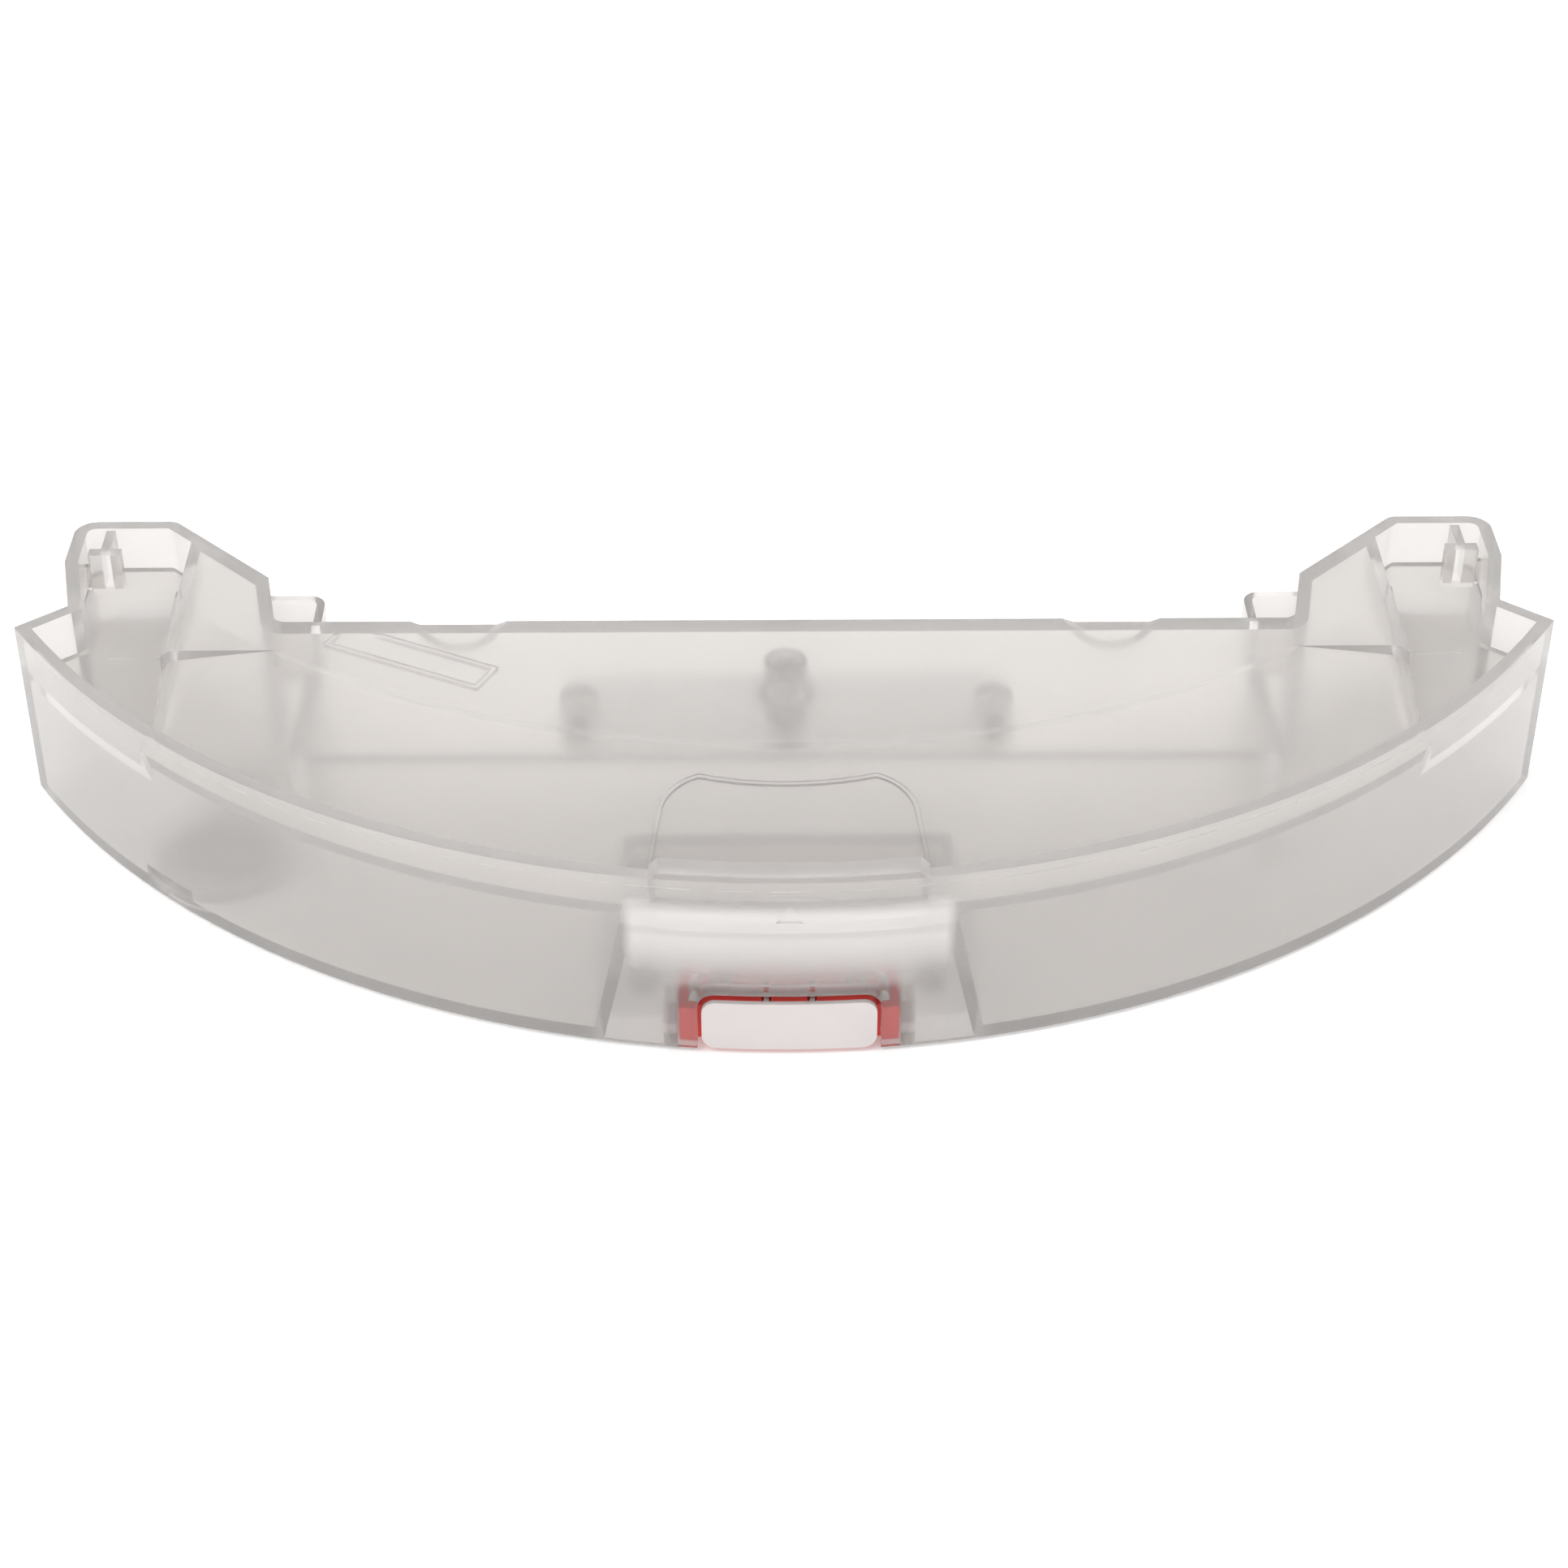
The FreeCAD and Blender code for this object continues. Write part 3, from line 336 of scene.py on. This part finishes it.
def weld_flash():
    """Short runs of the fine flash line that the weld leaves along the curved wall."""
    chance = random.Random(7)
    radius = (OUTER_RADIUS - 0.13) * MM
    limit = math.asin((TIP_HALF - 3) / OUTER_RADIUS)
    angle = -limit
    bm = bmesh.new()
    while angle < limit:
        long = chance.uniform(0.02, 0.10)
        end = min(angle + long, limit)
        steps = max(2, int((end - angle) / 0.012))
        path = []
        for k in range(steps + 1):
            a = angle + (end - angle) * k / steps
            z = SEAM_LEVEL + chance.uniform(-0.03, 0.03)
            path.append(Vector((radius * math.sin(a), ARC_CENTRE_Y * MM - radius * math.cos(a), z * MM)))
        add_tube(bm, path, chance.uniform(0.07, 0.13) * MM, 6)
        angle = end + chance.uniform(0.004, 0.03)
    mesh = bpy.data.meshes.new("weld_flash")
    bmesh.ops.recalc_face_normals(bm, faces=bm.faces)
    bm.to_mesh(mesh)
    bm.free()
    smooth_shading(mesh, 60)
    add_object("weld_flash", mesh, FLASH, "shell")


def add_tube(bm, path, radius, sides):
    """A closed tube of round section along a list of points."""
    rings = []
    for k, point in enumerate(path):
        ahead = path[min(k + 1, len(path) - 1)] - path[max(k - 1, 0)]
        across = ahead.cross(Vector((0, 0, 1))).normalized()
        up = across.cross(ahead).normalized()
        turns = [2 * math.pi * s / sides for s in range(sides)]
        spokes = [across * math.cos(a) + up * math.sin(a) for a in turns]
        rings.append([bm.verts.new(point + radius * spoke) for spoke in spokes])
    for first, second in zip(rings, rings[1:]):
        for s in range(sides):
            t = (s + 1) % sides
            bm.faces.new((first[s], first[t], second[t], second[s]))
    bm.faces.new(rings[0][::-1])
    bm.faces.new(rings[-1])


def tube_mesh(name, path, radius, sides):
    """A smooth mesh of one tube."""
    bm = bmesh.new()
    add_tube(bm, path, radius, sides)
    bmesh.ops.recalc_face_normals(bm, faces=bm.faces)
    mesh = bpy.data.meshes.new(name)
    bm.to_mesh(mesh)
    bm.free()
    mesh.polygons.foreach_set("use_smooth", [True] * len(mesh.polygons))
    return mesh


def latch_spring(side, x):
    """A coil spring with closed ends between the slider and the lip of the button slot."""
    wire, coil, turns, closed = 0.22, 1.55, 3.5, 1.0
    depth = OUTER_RADIUS - math.sqrt((OUTER_RADIUS - SPRING_INSET) ** 2 - x ** 2)
    y = depth - (OUTER_RADIUS - ARC_CENTRE_Y)
    low, high = SPRING_BOTTOM + wire, SPRING_TOP - wire
    steps = 36
    path = []
    for k in range(int(steps * (turns + 2 * closed)) + 1):
        turn = k / steps
        share = min(max((turn - closed) / turns, 0.0), 1.0)
        end_rise = 2 * wire * (min(turn, closed) / closed + max(0.0, turn - closed - turns) / closed)
        z = low + end_rise + share * (high - low - 4 * wire)
        angle = 2 * math.pi * turn
        path.append(Vector((x + coil * math.cos(angle), y + coil * math.sin(angle), z)) * MM)
    mesh = tube_mesh("spring_coil_" + side, path, wire * MM, 10)
    piece = add_object("spring_coil_" + side, mesh, SPRING, "shell")
    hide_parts("latch_spring_" + side)
    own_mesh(piece)


def make_stage():
    """A plain floor that shows white to the camera and keeps the tank's shadow."""
    mesh = bpy.data.meshes.new("floor")
    side = 3.0
    below = -0.1 * MM
    corners = [(-side, -side, below), (side, -side, below), (side, side, below), (-side, side, below)]
    mesh.from_pydata(corners, [], [(0, 1, 2, 3)])
    floor = bpy.data.objects.new("floor", mesh)
    bpy.context.scene.collection.objects.link(floor)
    material, tree, shader = new_material("floor_white")
    set_values(shader, Base_Color=(0.9, 0.9, 0.9, 1), Roughness=0.9, Specular_IOR_Level=0.0)
    shader.inputs["Emission Color"].default_value = (1, 1, 1, 1)
    shader.inputs["Emission Strength"].default_value = 0.2
    mesh.materials.append(material)


def make_world():
    """A white studio, seen brighter than it lights."""
    world = bpy.data.worlds.new("studio")
    bpy.context.scene.world = world
    world.use_nodes = True
    tree = world.node_tree
    background = next(node for node in tree.nodes if node.type == "BACKGROUND")
    background.inputs["Color"].default_value = (1, 1, 1, 1)
    path = tree.nodes.new("ShaderNodeLightPath")
    seen = tree.nodes.new("ShaderNodeMath")
    seen.operation = "MAXIMUM"
    tree.links.new(path.outputs["Is Camera Ray"], seen.inputs[0])
    through = tree.nodes.new("ShaderNodeMath")
    through.operation = "MULTIPLY"
    through.inputs[1].default_value = SEEN_THROUGH
    tree.links.new(path.outputs["Is Transmission Ray"], through.inputs[0])
    tree.links.new(through.outputs[0], seen.inputs[1])
    strength = tree.nodes.new("ShaderNodeMapRange")
    strength.inputs["To Min"].default_value = WORLD_LIGHT
    strength.inputs["To Max"].default_value = WORLD_SEEN
    tree.links.new(seen.outputs[0], strength.inputs["Value"])
    tree.links.new(strength.outputs[0], background.inputs["Strength"])


def area_light(name, place, aim, size, power):
    """A soft box of a size in metres that shines at a point."""
    light = bpy.data.lights.new(name, "AREA")
    light.shape = "RECTANGLE"
    light.size, light.size_y = size
    light.energy = power
    lamp = bpy.data.objects.new(name, light)
    bpy.context.scene.collection.objects.link(lamp)
    lamp.location = place
    lamp.rotation_euler = (Vector(aim) - Vector(place)).to_track_quat("-Z", "Y").to_euler()


def make_camera():
    """The camera of the photograph, turned about the part by the part's small yaw."""
    camera = bpy.data.cameras.new("camera")
    camera.sensor_width = 36.0
    camera.lens = CAMERA_LENS
    camera.clip_start = 0.01
    seen_by = bpy.data.objects.new("camera", camera)
    bpy.context.scene.collection.objects.link(seen_by)
    straight = Euler((math.radians(90 - CAMERA_TILT), 0, 0)).to_matrix().to_4x4()
    roll = Matrix.Rotation(math.radians(CAMERA_ROLL), 4, "Z")
    turn = Matrix.Translation(YAW_PIVOT) @ Matrix.Rotation(math.radians(-OBJECT_YAW), 4, "Z")
    seen_by.matrix_world = turn @ Matrix.Translation(CAMERA_PLACE - YAW_PIVOT) @ straight @ roll
    bpy.context.scene.camera = seen_by


dress_nodes()
welded_shell()
weld_flash()
latch_spring("left", -SPRING_X)
latch_spring("right", SPRING_X)
make_stage()
make_world()
area_light("key", (-0.7, -0.5, 1.3), (0, 0, 0), (0.9, 0.9), 9.0)
area_light("fill", (0.9, 0.1, 1.2), (0, 0, 0), (0.8, 0.8), 6.0)
make_camera()
bpy.context.scene.view_settings.view_transform = "Standard"
